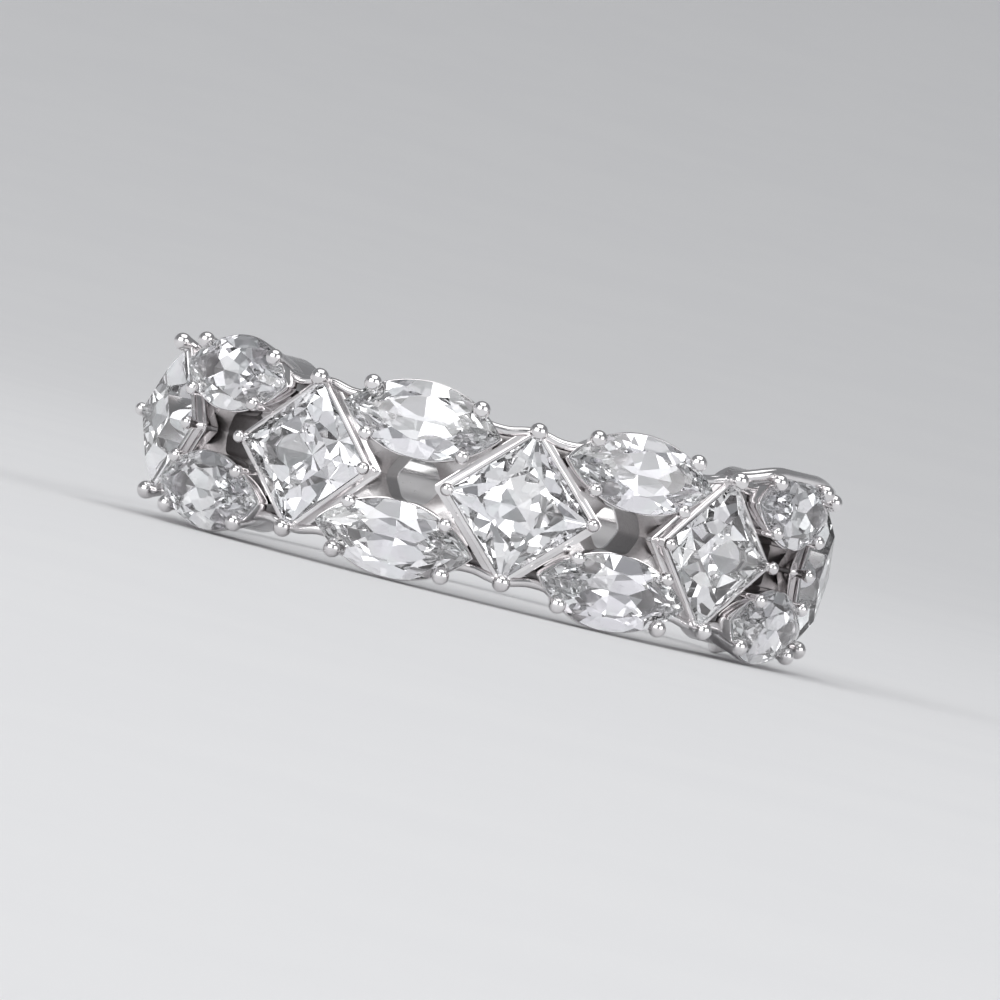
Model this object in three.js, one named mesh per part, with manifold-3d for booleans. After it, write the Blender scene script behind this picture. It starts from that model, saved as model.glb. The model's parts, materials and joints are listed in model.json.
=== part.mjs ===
// Hinged ring for an ear: a jewelled half band and a round wire half that swings on a pin.
// Units are millimetres, +Z is up. The ring lies on its side, so its axis is +Z, and the
// middle of the jewelled half points towards -Y. Angles run round the axis from there, towards +X.
import * as THREE from 'three';
import { mergeVertices } from 'three/addons/utils/BufferGeometryUtils.js';
import Module from 'manifold-3d';

const wasm = await Module();
wasm.setup();

// Ring
const innerRadius = 5.0; // inside of the band
const baseRadius = 5.85; // outside of the cast base, under the stones
const girdleRadius = 6.5; // ring axis to the widest plane of the stones
const halfWidth = 1.92; // half the ring's width, along Z
const baseHalfWidth = 1.72; // the cast base is a little narrower than the seats on it
const pitchAngle = 38; // from one square stone to the next, degrees
const squareCount = 5;
const bandEndAngle = 90; // the jewelled base stops here on each side, degrees

// Stones, each in its own frame: x along the band, y across it, z outwards
const squareHalfSide = 1.0;
const squareDepth = 1.16; // girdle to point
const squareCrown = 0.32; // girdle to table
const marquiseHalfLength = 1.55;
const marquiseHalfWidth = 0.75;
const marquiseDepth = 0.66;
const marquiseCrown = 0.27;
const marquiseHeight = 1.14; // from the band's middle line
const marquiseTilt = 8; // degrees, leaning outwards
const girdleHalf = 0.03; // half the thin upright edge of a stone
const seatGap = 0.035; // clearance between a stone and its metal

// Metal round the stones
const squareWall = 0.09; // seat wall outside a stone's edge
const marquiseWall = 0.03;
const cupDepth = 0.75; // seat wall, from the girdle inwards
const stepWall = 0.19; // a second, lower wall round each square stone
const stepDrop = 0.17; // its top, from the girdle inwards
const webDrop = 0.32; // top of the web between the stones of a pair
const webLength = 2.7;
const webWidth = 2.0;
const webThickness = 1;
const beadRadius = 0.18;
const beadLift = 0.2; // bead centre above the girdle
const prongLength = 0.5; // from the girdle inwards
const stemShare = 0.7; // a prong's stem and its flat top, as shares of its bead
const beadTopShare = 0.6;

// Scalloped edge of the base, beside each square stone
const notchReach = 1.75; // from the stone's middle, along the band
const notchWaist = 0.95;
const edgeDip = 1.3; // half the width that the curve pulls towards
const edgeAtCorner = 1.5; // and beside the stone's corner

// Openings through the band, as half sizes
const holeHalfLength = 0.57;
const holeHalfHeight = 0.41;
const holeWaist = 0.34;
const squareWindowCorner = 0.85;
const marquiseWindowLength = 0.85;
const marquiseWindowHeight = 0.3;
const windowTop = 0.25; // from the girdle inwards
const beyond = 2.2; // cutters reach this far inwards, past the inside of the band,
const above = 1; // and this far outwards, past the stones

// Plain end blocks: full height near the inside, and sloping away outwards
const blockRadius = 6.25;
const blockShoulder = 1.42; // half height at the outside
const blockTop = 1.6; // height of the upper side, which stays behind the stones
const topFlangeRadius = 5.4;
const footRadius = 5.6; // the lower side is as low as the seats, so the ring rests on it
const blockStartY = -0.55;
const blockFullY = 0.3;
const blockNeckY = 1.05;

// Plain rim over the stones next to the hinge
const rimRadius = 0.12;
const rimStart = 38; // degrees
const rimEnd = 78;
const rimRiseAngle = 12; // it lifts over this many degrees at one end,
const rimFallAngle = 16; // and sinks over these at the other
const rimLift = 0.3;
const rimSink = 0.16;
const rimInset = 0.2; // its start is nearer to the axis than the girdle

// Wire half and hinge
const wireRadius = 0.6;
const pivotX = 5.5;
const pivotY = 1.35;
const wireRing = Math.hypot(pivotX, pivotY); // centre line of the wire
const pivotAngle = 90 + THREE.MathUtils.radToDeg(Math.atan2(pivotY, pivotX));
const earRadius = 0.66;
const earHalfHeight = 0.95;
const shoulderRadius = 0.72; // the full wire starts this far from the pivot
const tongueHalf = 0.35; // half the thickness of the flat eye
const slotHalf = 0.4;
const slotRadius = 0.68;
const pinRadius = 0.25;
const pinHole = 0.28;
const pinHalfLength = 0.93;
const tongueLength = 0.8; // what enters the catch
const tongueHalfWidth = 0.3;
const catchGap = 0.06;
const neckWidth = 0.8; // joins the eye to the wire
const neckLength = 1.0;
const neckInset = 0.12;
const tongueRoot = 0.5; // how far the tongue reaches into the full wire
const wireTrim = 0.05; // the full wire stops just behind the catch end of the band
const throughAll = 4; // longer than the ring is wide

// The origin is under the middle of the whole ring's box
const frontReach = girdleRadius + beadLift + beadRadius;
const backReach = wireRing + wireRadius;
const ringCentreY = (frontReach - backReach) / 2;

const radians = THREE.MathUtils.degToRad;

function solid(geometry, matrix) {
  const bare = geometry.clone();
  bare.deleteAttribute('normal');
  bare.deleteAttribute('uv');
  if (matrix) bare.applyMatrix4(matrix);
  const merged = mergeVertices(bare, 1e-5);
  return new wasm.Manifold(new wasm.Mesh({
    numProp: 3,
    vertProperties: new Float32Array(merged.attributes.position.array),
    triVerts: new Uint32Array(merged.index.array),
  }));
}

function geometryOf(body) {
  const mesh = body.getMesh();
  const geometry = new THREE.BufferGeometry();
  geometry.setAttribute('position', new THREE.BufferAttribute(mesh.vertProperties, 3));
  geometry.setIndex(new THREE.BufferAttribute(mesh.triVerts, 1));
  geometry.computeVertexNormals();
  return geometry;
}

// A flat outline pulled along z from one level to another
function slab(shape, from, to, curveSegments = 4) {
  const depth = to - from;
  const geometry = new THREE.ExtrudeGeometry(shape, { depth, bevelEnabled: false, curveSegments });
  return geometry.translate(0, 0, from);
}

function upright(radius, from, to, sides = 24) {
  const geometry = new THREE.CylinderGeometry(radius, radius, to - from, sides);
  return geometry.rotateX(Math.PI / 2).translate(0, 0, (from + to) / 2);
}

// Where a stone, or the metal round it, sits on the band
function seat(angle, height, tilt) {
  const turn = new THREE.Matrix4().makeRotationZ(radians(angle));
  const place = new THREE.Matrix4().makeTranslation(0, -girdleRadius, height);
  const lean = new THREE.Matrix4().makeRotationX(Math.PI / 2 - radians(tilt));
  return turn.multiply(place).multiply(lean);
}

// Outlines seen from outside the band; grow moves the whole edge outwards
function squareOutline(grow) {
  const corner = (squareHalfSide + grow) * Math.SQRT2;
  return new THREE.Shape([
    new THREE.Vector2(corner, 0), new THREE.Vector2(0, corner),
    new THREE.Vector2(-corner, 0), new THREE.Vector2(0, -corner),
  ]);
}

function marquiseOutline(grow) {
  const arcRadius = (marquiseHalfLength ** 2 + marquiseHalfWidth ** 2) / (2 * marquiseHalfWidth);
  const offset = arcRadius - marquiseHalfWidth;
  const radius = arcRadius + grow;
  const tipAngle = Math.acos(offset / radius);
  const shape = new THREE.Shape();
  shape.absarc(0, -offset, radius, Math.PI / 2 - tipAngle, Math.PI / 2 + tipAngle, false);
  shape.absarc(0, offset, radius, -Math.PI / 2 - tipAngle, -Math.PI / 2 + tipAngle, false);
  return shape;
}

// Facets: each row cuts one flat per azimuth. A flat passes through the girdle's edge, moved out
// by the reach, and crosses the stone's axis at the apex height, above or below the girdle.
const squareFacets = [
  { azimuths: [45, 135, 225, 315], reach: 1.0, apex: 1.0 },
  { azimuths: [0, 90, 180, 270], reach: 0.98, apex: 0.62 },
  { azimuths: [45, 135, 225, 315], reach: 1.0, apex: -1.7 },
  { azimuths: [27, 63, 117, 153, 207, 243, 297, 333], reach: 0.97, apex: -squareDepth },
];
const marquiseFacets = [
  { azimuths: [62, 90, 118, 242, 270, 298], reach: 1.0, apex: 0.52 },
  { azimuths: [22, 158, 202, 338], reach: 1.0, apex: 0.5 },
  { azimuths: [90, 270], reach: 1.0, apex: -marquiseDepth },
  { azimuths: [56, 124, 236, 304], reach: 1.0, apex: -0.9 },
  { azimuths: [20, 160, 200, 340], reach: 1.0, apex: -1.0 },
];

// Distance of an outline's furthest point in the direction of an azimuth
function support(points, azimuth) {
  const direction = new THREE.Vector2(Math.cos(radians(azimuth)), Math.sin(radians(azimuth)));
  return Math.max(...points.map((point) => point.dot(direction)));
}

// A stone is a straight-sided blank ground flat by flat; grow gives its seat's clearance
function cutStone(outline, facets, crown, depth, grow = 0) {
  const shape = outline(grow);
  const points = outline(0).getPoints(4);
  let stone = solid(slab(shape, -depth - grow, crown + grow));
  for (const { azimuths, reach, apex } of facets) {
    for (const azimuth of azimuths) {
      const edge = support(points, azimuth) * reach;
      const side = Math.sign(apex);
      const rise = Math.abs(apex) - girdleHalf;
      const normal = new THREE.Vector3(
        rise * Math.cos(radians(azimuth)), rise * Math.sin(radians(azimuth)), side * edge,
      ).normalize();
      const onEdge = new THREE.Vector3(
        edge * Math.cos(radians(azimuth)), edge * Math.sin(radians(azimuth)), side * girdleHalf,
      );
      const distance = normal.dot(onEdge) + grow;
      stone = stone.trimByPlane([-normal.x, -normal.y, -normal.z], -distance);
    }
  }
  return stone;
}

const cutSquare = (grow) => cutStone(squareOutline, squareFacets, squareCrown, squareDepth, grow);
const cutMarquise = (grow) => cutStone(marquiseOutline, marquiseFacets, marquiseCrown, marquiseDepth, grow);

// Where the stones sit
const squareAngles = [];
for (let i = 0; i < squareCount; i += 1) squareAngles.push((i - (squareCount - 1) / 2) * pitchAngle);
const pairAngles = squareAngles.slice(0, -1).map((angle) => angle + pitchAngle / 2);
const sides = [{ name: 'upper', sign: 1 }, { name: 'lower', sign: -1 }];

// Small round-headed prongs, along and across each stone from its middle
const squareProngs = [
  { along: 0, across: 1.49, size: 1 }, { along: 0, across: -1.49, size: 1 },
  { along: 1.47, across: 0, size: 0.75 }, { along: -1.47, across: 0, size: 0.75 },
];
const marquiseProngs = [
  { along: 1.1, across: 0.47, size: 1 }, { along: -1.1, across: 0.47, size: 1 },
  { along: 0.95, across: -0.53, size: 0.8 }, { along: -0.95, across: -0.53, size: 0.8 },
];

function prong({ along, across, size }) {
  const bead = beadRadius * size;
  const profile = [
    [0, -prongLength], [bead * stemShare, -prongLength], [bead, beadLift],
    [bead * beadTopShare, beadLift + bead],
    [0, beadLift + bead],
  ].map(([x, y]) => new THREE.Vector2(x, y));
  const geometry = new THREE.LatheGeometry(profile, 6).rotateX(Math.PI / 2);
  return geometry.translate(along, across, 0);
}

// The cast front half
function sector(inside, outside, endAngle, bottom, top) {
  const shape = new THREE.Shape();
  const start = radians(-90 - endAngle);
  const end = radians(-90 + endAngle);
  shape.absarc(0, 0, outside, start, end, false);
  shape.absarc(0, 0, inside, end, start, true);
  return slab(shape, bottom, top, 16);
}

// The edge dips between the stones: this is what is taken off beside one square stone
function edgeNotch(sign) {
  const outside = 2 * halfWidth;
  const shape = new THREE.Shape();
  shape.moveTo(-notchReach, outside);
  shape.lineTo(-notchReach, baseHalfWidth);
  shape.quadraticCurveTo(-notchWaist, edgeDip, 0, edgeAtCorner);
  shape.quadraticCurveTo(notchWaist, edgeDip, notchReach, baseHalfWidth);
  shape.lineTo(notchReach, outside);
  const geometry = slab(shape, -beyond, above);
  return sign > 0 ? geometry : geometry.rotateZ(Math.PI);
}

// The opening between two stones of a pair
function throughHole() {
  return slab(new THREE.Shape([
    new THREE.Vector2(holeHalfLength, 0), new THREE.Vector2(holeWaist, holeHalfHeight),
    new THREE.Vector2(-holeWaist, holeHalfHeight), new THREE.Vector2(-holeHalfLength, 0),
    new THREE.Vector2(-holeWaist, -holeHalfHeight), new THREE.Vector2(holeWaist, -holeHalfHeight),
  ]), -beyond, above);
}

// The web that fills the band round that opening
function web() {
  const plate = new THREE.BoxGeometry(webLength, webWidth, webThickness);
  return plate.translate(0, 0, -webDrop - webThickness / 2);
}

// Behind each stone the band is open, so light reaches it
function squareWindow() {
  const corner = squareWindowCorner;
  return slab(new THREE.Shape([
    new THREE.Vector2(corner, 0), new THREE.Vector2(0, corner),
    new THREE.Vector2(-corner, 0), new THREE.Vector2(0, -corner),
  ]), -beyond, -windowTop);
}

function marquiseWindow() {
  const shape = new THREE.Shape();
  shape.absellipse(0, 0, marquiseWindowLength, marquiseWindowHeight, 0, 2 * Math.PI, false, 0);
  return slab(shape, -beyond, -windowTop);
}

// Plain block at one end of the band, narrowing from the band's width to the hinge or the catch
function endBlock(side) {
  const edge = new THREE.Shape();
  const bend = (blockFullY + blockNeckY) / 2;
  edge.moveTo(blockStartY, -halfWidth);
  edge.lineTo(blockFullY, -halfWidth);
  edge.bezierCurveTo(bend, -halfWidth, bend, -earHalfHeight, blockNeckY, -earHalfHeight);
  edge.lineTo(pivotY, -earHalfHeight);
  edge.lineTo(pivotY, earHalfHeight);
  edge.lineTo(blockNeckY, earHalfHeight);
  edge.bezierCurveTo(bend, earHalfHeight, bend, blockTop, blockFullY, blockTop);
  edge.lineTo(blockStartY, blockTop);
  const toSide = new THREE.Matrix4().makeBasis(
    new THREE.Vector3(0, 1, 0), new THREE.Vector3(0, 0, 1), new THREE.Vector3(1, 0, 0),
  );
  const ends = [side * (innerRadius - 1), side * (blockRadius + 1)].sort((one, other) => one - other);
  const section = [
    [innerRadius, -halfWidth], [footRadius, -halfWidth], [blockRadius, -blockShoulder],
    [blockRadius, blockShoulder], [topFlangeRadius, blockTop], [innerRadius, blockTop],
    [innerRadius, -halfWidth],
  ].map(([radius, height]) => new THREE.Vector2(radius, height));
  const turned = new THREE.LatheGeometry(section, 72).rotateX(Math.PI / 2);
  return solid(slab(edge, ...ends), toSide).intersect(solid(turned));
}

// The rim rises from the last but one square stone, passes over the pair and ends at the last one
class RimLine extends THREE.Curve {
  getPoint(t, target = new THREE.Vector3()) {
    const degrees = THREE.MathUtils.lerp(rimStart, rimEnd, t);
    const rise = THREE.MathUtils.smoothstep(degrees, rimStart, rimStart + rimRiseAngle);
    const fall = THREE.MathUtils.smoothstep(degrees, rimEnd - rimFallAngle, rimEnd);
    const radius = girdleRadius - rimInset * (1 - rise);
    const angle = radians(degrees);
    const height = edgeAtCorner + rimLift * rise - rimSink * fall;
    return target.set(radius * Math.sin(angle), -radius * Math.cos(angle), height);
  }
}

function hingeRim() {
  const section = new THREE.Shape().absarc(0, 0, rimRadius, 0, 2 * Math.PI, false);
  return new THREE.ExtrudeGeometry(section, { extrudePath: new RimLine(), steps: 10, curveSegments: 4 });
}

function settingBand() {
  let band = solid(sector(innerRadius, baseRadius, bandEndAngle, -baseHalfWidth, baseHalfWidth));
  for (const angle of squareAngles) {
    for (const { sign } of sides) band = band.subtract(solid(edgeNotch(sign), seat(angle, 0, 0)));
  }
  band = band.add(endBlock(1)).add(endBlock(-1)).add(solid(hingeRim()));

  const cups = [];
  const prongs = [];
  const cuts = [];
  for (const angle of squareAngles) {
    const place = seat(angle, 0, 0);
    cups.push(solid(slab(squareOutline(squareWall), -cupDepth, -girdleHalf), place));
    cups.push(solid(slab(squareOutline(stepWall), -cupDepth, -stepDrop), place));
    squareProngs.forEach((row) => prongs.push(solid(prong(row), place)));
    cuts.push(solid(geometryOf(cutSquare(seatGap)), place), solid(squareWindow(), place));
  }
  for (const angle of pairAngles) {
    for (const { sign } of sides) {
      const place = seat(angle, sign * marquiseHeight, sign * marquiseTilt);
      cups.push(solid(slab(marquiseOutline(marquiseWall), -cupDepth, -girdleHalf), place));
      marquiseProngs.forEach((row) => {
        prongs.push(solid(prong({ ...row, across: sign * row.across }), place));
      });
      cuts.push(solid(geometryOf(cutMarquise(seatGap)), place), solid(marquiseWindow(), place));
    }
    cups.push(solid(web(), seat(angle, 0, 0)));
    cuts.push(solid(throughHole(), seat(angle, 0, 0)));
  }
  band = wasm.Manifold.union([band, ...cups, ...prongs]);
  band = band.subtract(wasm.Manifold.union(cuts));

  // Hinge fork at one end, and a socket for the tongue at the other
  const toPivot = new THREE.Matrix4().makeTranslation(pivotX, pivotY, 0);
  band = band.add(solid(upright(earRadius, -earHalfHeight, earHalfHeight), toPivot));
  band = band.subtract(solid(upright(slotRadius, -slotHalf, slotHalf), toPivot));
  band = band.subtract(solid(upright(pinHole, -throughAll, throughAll), toPivot));
  const socketDepth = tongueLength + catchGap;
  const socket = new THREE.BoxGeometry(
    2 * (tongueHalfWidth + catchGap), 2 * socketDepth, 2 * (tongueHalf + catchGap),
  );
  return band.subtract(solid(socket.translate(-pivotX, pivotY, 0)));
}

// The plain wire half, from the hinge round the back to the catch
class WireLine extends THREE.Curve {
  getPoint(t, target = new THREE.Vector3()) {
    const angle = radians(pivotAngle + t * 2 * (180 - pivotAngle));
    return target.set(wireRing * Math.sin(angle), -wireRing * Math.cos(angle), 0);
  }
}

function wireSegment() {
  const section = new THREE.Shape().absarc(0, 0, wireRadius, 0, 2 * Math.PI, false);
  const alongWire = { extrudePath: new WireLine(), steps: 30, curveSegments: 7 };
  const tube = new THREE.ExtrudeGeometry(section, alongWire);
  const toPivot = new THREE.Matrix4().makeTranslation(pivotX, pivotY, 0);
  let wire = solid(tube);
  wire = wire.subtract(solid(upright(shoulderRadius, -throughAll, throughAll), toPivot));
  const eye = solid(upright(wireRadius, -tongueHalf, tongueHalf), toPivot);
  const neck = new THREE.BoxGeometry(neckWidth, neckLength, 2 * tongueHalf);
  neck.translate(pivotX - neckInset, pivotY + neckLength / 2, 0);
  const tongue = new THREE.BoxGeometry(2 * tongueHalfWidth, tongueLength + tongueRoot, 2 * tongueHalf);
  tongue.translate(-pivotX, pivotY + (tongueRoot - tongueLength) / 2, 0);
  const beyondEnd = new THREE.BoxGeometry(throughAll, throughAll, throughAll);
  beyondEnd.translate(-pivotX, pivotY + wireTrim - throughAll / 2, 0);
  wire = wire.subtract(solid(beyondEnd)).add(solid(tongue)).add(eye).add(solid(neck));
  return wire.subtract(solid(upright(pinHole, -throughAll, throughAll), toPivot));
}

// Finishes
const castMetal = new THREE.MeshStandardMaterial({ color: 0xd9d4d6, roughness: 0.18, metalness: 1 });
const wireMetal = new THREE.MeshStandardMaterial({ color: 0xcfcecd, roughness: 0.14, metalness: 1 });
const pinMetal = new THREE.MeshStandardMaterial({ color: 0xc8c5c6, roughness: 0.25, metalness: 1 });
const clearStone = new THREE.MeshStandardMaterial({ color: 0xf1eff6, roughness: 0.03, metalness: 0 });

function named(name, geometry, material) {
  const mesh = new THREE.Mesh(geometry, material);
  mesh.name = name;
  return mesh;
}

function placeStone(parent, name, body, angle, height, tilt) {
  const station = new THREE.Group();
  station.rotation.z = radians(angle);
  const stone = named(name, geometryOf(body), clearStone);
  stone.position.set(0, -girdleRadius, height);
  stone.rotation.x = Math.PI / 2 - radians(tilt);
  station.add(stone);
  parent.add(station);
}

const ring = new THREE.Group();
ring.position.set(0, ringCentreY, halfWidth);
ring.add(named('setting_band', geometryOf(settingBand()), castMetal));
ring.add(named('wire_segment', geometryOf(wireSegment()), wireMetal));

const pin = named('hinge_pin', upright(pinRadius, -pinHalfLength, pinHalfLength), pinMetal);
pin.position.set(pivotX, pivotY, 0);
ring.add(pin);

squareAngles.forEach((angle, i) => {
  placeStone(ring, `princess_stone_${i + 1}`, cutSquare(0), angle, 0, 0);
});
pairAngles.forEach((angle, i) => {
  for (const { name, sign } of sides) {
    const stoneName = `marquise_${name}_${i + 1}`;
    placeStone(ring, stoneName, cutMarquise(0), angle, sign * marquiseHeight, sign * marquiseTilt);
  }
});

const part = new THREE.Group();
part.add(ring);

export default part;
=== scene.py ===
# %% [markdown]
# # A hinged ear ring, made in Blender
#
# The ring lies on its side. Its front half is a cast band that holds five square stones set on
# point, with a pair of pointed oval stones between each two. Its back half is a plain round wire
# that swings open on a pin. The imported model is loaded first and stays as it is. It says where
# everything goes, and every piece made here stands in for one of its nodes.

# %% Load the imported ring
import json
import math

import bmesh
import bpy
from mathutils import Matrix, Vector


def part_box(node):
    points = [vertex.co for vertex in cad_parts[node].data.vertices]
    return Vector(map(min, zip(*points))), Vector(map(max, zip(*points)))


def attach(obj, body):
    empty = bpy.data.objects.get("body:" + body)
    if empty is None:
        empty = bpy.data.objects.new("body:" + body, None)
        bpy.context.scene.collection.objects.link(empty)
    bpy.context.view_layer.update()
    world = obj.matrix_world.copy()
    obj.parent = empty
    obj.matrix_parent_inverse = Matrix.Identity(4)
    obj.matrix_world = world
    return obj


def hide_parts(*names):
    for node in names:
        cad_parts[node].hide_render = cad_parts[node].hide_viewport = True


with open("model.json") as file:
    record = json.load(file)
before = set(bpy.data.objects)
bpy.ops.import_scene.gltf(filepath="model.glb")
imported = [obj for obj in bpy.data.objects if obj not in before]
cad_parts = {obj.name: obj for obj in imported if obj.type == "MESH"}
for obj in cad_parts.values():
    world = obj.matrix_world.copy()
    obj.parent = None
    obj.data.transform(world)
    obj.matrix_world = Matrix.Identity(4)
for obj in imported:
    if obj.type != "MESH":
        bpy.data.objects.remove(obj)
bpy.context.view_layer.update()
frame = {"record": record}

# %% [markdown]
# ## Where the ring is
#
# A ring this small is easier to read in millimetres, and Blender's tools cut more safely on
# numbers near one than on numbers near a thousandth. So every piece is modelled in millimetres,
# and its mesh is scaled to metres at the very end.
#
# The record keeps a space open for the rim of the ear, and the middle of that space is the middle
# of the ring. The hinge is where the record's joint is. The catch is its mirror image.

# %% Middle, hinge and catch, in millimetres
MM = 0.001
ear_space = frame["record"]["physics"]["openings"][0]["box_m"]
centre = Vector([(low + high) / 2 / MM for low, high in zip(*ear_space)])
hinge_point = Vector(frame["record"]["behaviour"]["joints"][0]["pos_m"]) / MM
catch_point = Vector((2 * centre.x - hinge_point.x, hinge_point.y, hinge_point.z))
to_hinge = hinge_point - centre
HINGE_ANGLE = 90 + math.degrees(math.atan2(to_hinge.y, to_hinge.x))
print("middle", centre[:], "hinge", hinge_point[:], f"at {HINGE_ANGLE:.1f} degrees from the front")

# %% [markdown]
# ## Seats round the band
#
# A jeweller cuts a stone flat on the bench and then sets it. The same is done here: a stone is
# made with x along the band, y across it and z outwards, and one matrix carries it to its seat.
# The matrix is read from right to left. It stands the stone up, moves it out to the band, and
# turns it round the ring's axis. Angles are counted from the middle of the front.

# %% Seats
GIRDLE_RADIUS = 6.5
SQUARES = 5
SQUARE_PITCH = 38.0
SQUARE_ANGLES = [(i - (SQUARES - 1) / 2) * SQUARE_PITCH for i in range(SQUARES)]
PAIR_ANGLES = [angle + SQUARE_PITCH / 2 for angle in SQUARE_ANGLES[:-1]]


def seat(angle, height=0.0, tilt=0.0):
    """Carries a shape from the bench to its seat on the band."""
    return (
        Matrix.Translation(centre)
        @ Matrix.Rotation(math.radians(angle), 4, "Z")
        @ Matrix.Translation((0, -GIRDLE_RADIUS, height))
        @ Matrix.Rotation(math.pi / 2 - math.radians(tilt), 4, "X")
    )


print("square stones at", SQUARE_ANGLES, "and pairs at", PAIR_ANGLES)

# %% [markdown]
# ## Small tools
#
# Three helpers do the chores. The first moves a finished shape to its place and makes an object of
# it. The second joins solids, or cuts some out of another, with a Boolean modifier, and keeps only
# the result, as if the modifier were applied. Its manifold solver needs closed solids and gives
# back a closed solid, however many of them overlap, and it gives the same one each time. The exact
# solver left small gaps here where many thin walls meet. The last helper marks the sharp edges,
# scales the mesh to metres and counts the edges that don't join exactly two faces.

# %% From shape to object
def to_object(bm, name, place):
    bmesh.ops.transform(bm, matrix=place, verts=bm.verts)
    mesh = bpy.data.meshes.new(name)
    bm.to_mesh(mesh)
    bm.free()
    piece = bpy.data.objects.new(name, mesh)
    bpy.context.scene.collection.objects.link(piece)
    return piece


# %% Joining and cutting
def boolean(piece, others, operation):
    """Joins the other solids to a piece (UNION) or cuts them out of it (DIFFERENCE)."""
    before = len(piece.data.polygons)
    operands = bpy.data.collections.new("operands")
    for other in others:
        operands.objects.link(other)
    modifier = piece.modifiers.new(operation.lower(), "BOOLEAN")
    modifier.operation = operation
    modifier.operand_type = "COLLECTION"
    modifier.collection = operands
    modifier.solver = "MANIFOLD"
    graph = bpy.context.evaluated_depsgraph_get()
    result = bpy.data.meshes.new_from_object(piece.evaluated_get(graph), depsgraph=graph)
    piece.modifiers.clear()
    piece.data = result
    bpy.data.collections.remove(operands)
    for other in others:
        bpy.data.objects.remove(other)
    print(f"{piece.name}: {operation.lower()} with {len(others)}, {before} to {len(result.polygons)} faces")


# %% Sharp edges, and millimetres to metres
def finish_mesh(piece, sharp_degrees):
    bm = bmesh.new()
    bm.from_mesh(piece.data)
    for face in bm.faces:
        face.smooth = True
    sharp = math.radians(sharp_degrees)
    for edge in bm.edges:
        edge.smooth = edge.is_manifold and edge.calc_face_angle(math.pi) < sharp
    loose = sum(not edge.is_manifold for edge in bm.edges)
    bmesh.ops.scale(bm, vec=(MM, MM, MM), verts=bm.verts)
    bm.to_mesh(piece.data)
    print(f"{piece.name}: {len(bm.faces)} faces, {loose} open edges")
    bm.free()


# %% [markdown]
# ## Grinding a stone
#
# A stone cutter grinds a stone flat by flat, and `bisect_plane` does the same. It throws away what
# lies beyond a plane, and the wound is closed with one face. The flats could also be drawn as
# faces between computed points, but then every change of one flat would move all its neighbours.
# With planes the corners look after themselves, and every flat really is flat, which a clear
# stone needs for crisp reflections.
#
# Each row of a cutting table gives the directions of its flats, seen from above, and two points
# that each flat passes through. A point is given by how far out it is, as a share of the way to
# the stone's edge in that direction, and by its level.

# %% One flat, and a whole table of them
MERGE_DISTANCE, TOUCH_DISTANCE = 1e-4, 1e-5


def grind(bm, normal, point):
    cut = bmesh.ops.bisect_plane(
        bm, geom=bm.verts[:] + bm.edges[:] + bm.faces[:], dist=TOUCH_DISTANCE,
        plane_co=point, plane_no=normal, clear_outer=True,
    )
    rim = [item for item in cut["geom_cut"] if isinstance(item, bmesh.types.BMEdge)]
    if len(rim) > 2:
        bmesh.ops.contextual_create(bm, geom=rim)


def grind_all(bm, edge_in, table):
    """Grinds every flat of a table; edge_in gives the way to the stone's edge in a direction."""
    for directions, first, first_level, second, second_level in table:
        for direction in directions:
            turn = math.radians(direction)
            outwards = Vector((math.cos(turn), math.sin(turn), 0))
            reach = edge_in(direction)
            point = outwards * first * reach + Vector((0, 0, first_level))
            slope = outwards * (second - first) * reach + Vector((0, 0, second_level - first_level))
            sideways = Vector((-outwards.y, outwards.x, 0))
            normal = sideways.cross(slope)
            grind(bm, normal if normal.dot(outwards) > 0 else -normal, point)
    bmesh.ops.remove_doubles(bm, verts=bm.verts, dist=MERGE_DISTANCE)
    bmesh.ops.dissolve_degenerate(bm, dist=MERGE_DISTANCE, edges=bm.edges)


# %% [markdown]
# ### Square stone
#
# A princess cut is square from above and comes to a point below. Set on point, its corners lie on
# the x and y axes. The crown has a flat table, two slopes along each side and a small kite at
# each corner. The underside has one slope along each side and two rows of chevrons. More and
# narrower rows would sparkle in small points; these few large flats send the light back up in
# calm, bright patches. A block of four sides is ground to it.

# %% Square stone
GIRDLE_HALF = 0.03
QUARTERS = (0, 90, 180, 270)
SQUARE_HALF_SIDE = 0.985
SQUARE_CROWN, SQUARE_DEPTH, ROUGH_HALF_HEIGHT = 0.32, 1.16, 2.0


def at_quarters(*offsets):
    return [quarter + offset for quarter in QUARTERS for offset in offsets]


# Columns: directions, then a first and a second point, each as a share of the way out and a level
SQUARE_TABLE = [
    (at_quarters(45), 1.0, GIRDLE_HALF, 0.70, 0.25),
    (at_quarters(45), 0.76, 0.22, 0.62, SQUARE_CROWN),
    (at_quarters(0), 1.0, GIRDLE_HALF, 0.60, SQUARE_CROWN),
    (at_quarters(45), 1.0, -GIRDLE_HALF, 0.80, -0.34),
    (at_quarters(22, 68), 1.0, -GIRDLE_HALF, 0.50, -0.66),
    (at_quarters(22, 68), 0.56, -0.60, 0.0, -SQUARE_DEPTH),
]


def square_edge_in(direction):
    to_corner = SQUARE_HALF_SIDE * math.sqrt(2)
    return max(to_corner * math.cos(math.radians(direction - quarter)) for quarter in QUARTERS)


def ground_square():
    bm = bmesh.new()
    bmesh.ops.create_cube(bm, size=2)
    bmesh.ops.scale(bm, vec=(SQUARE_HALF_SIDE, SQUARE_HALF_SIDE, ROUGH_HALF_HEIGHT), verts=bm.verts)
    bmesh.ops.rotate(bm, matrix=Matrix.Rotation(math.radians(45), 3, "Z"), verts=bm.verts)
    grind(bm, Vector((0, 0, 1)), Vector((0, 0, SQUARE_CROWN)))
    grind_all(bm, square_edge_in, SQUARE_TABLE)
    return bm


sample = ground_square()
print("square stone:", len(sample.faces), "flats,", round(sample.calc_volume(), 2), "mm3")
sample.free()

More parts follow.
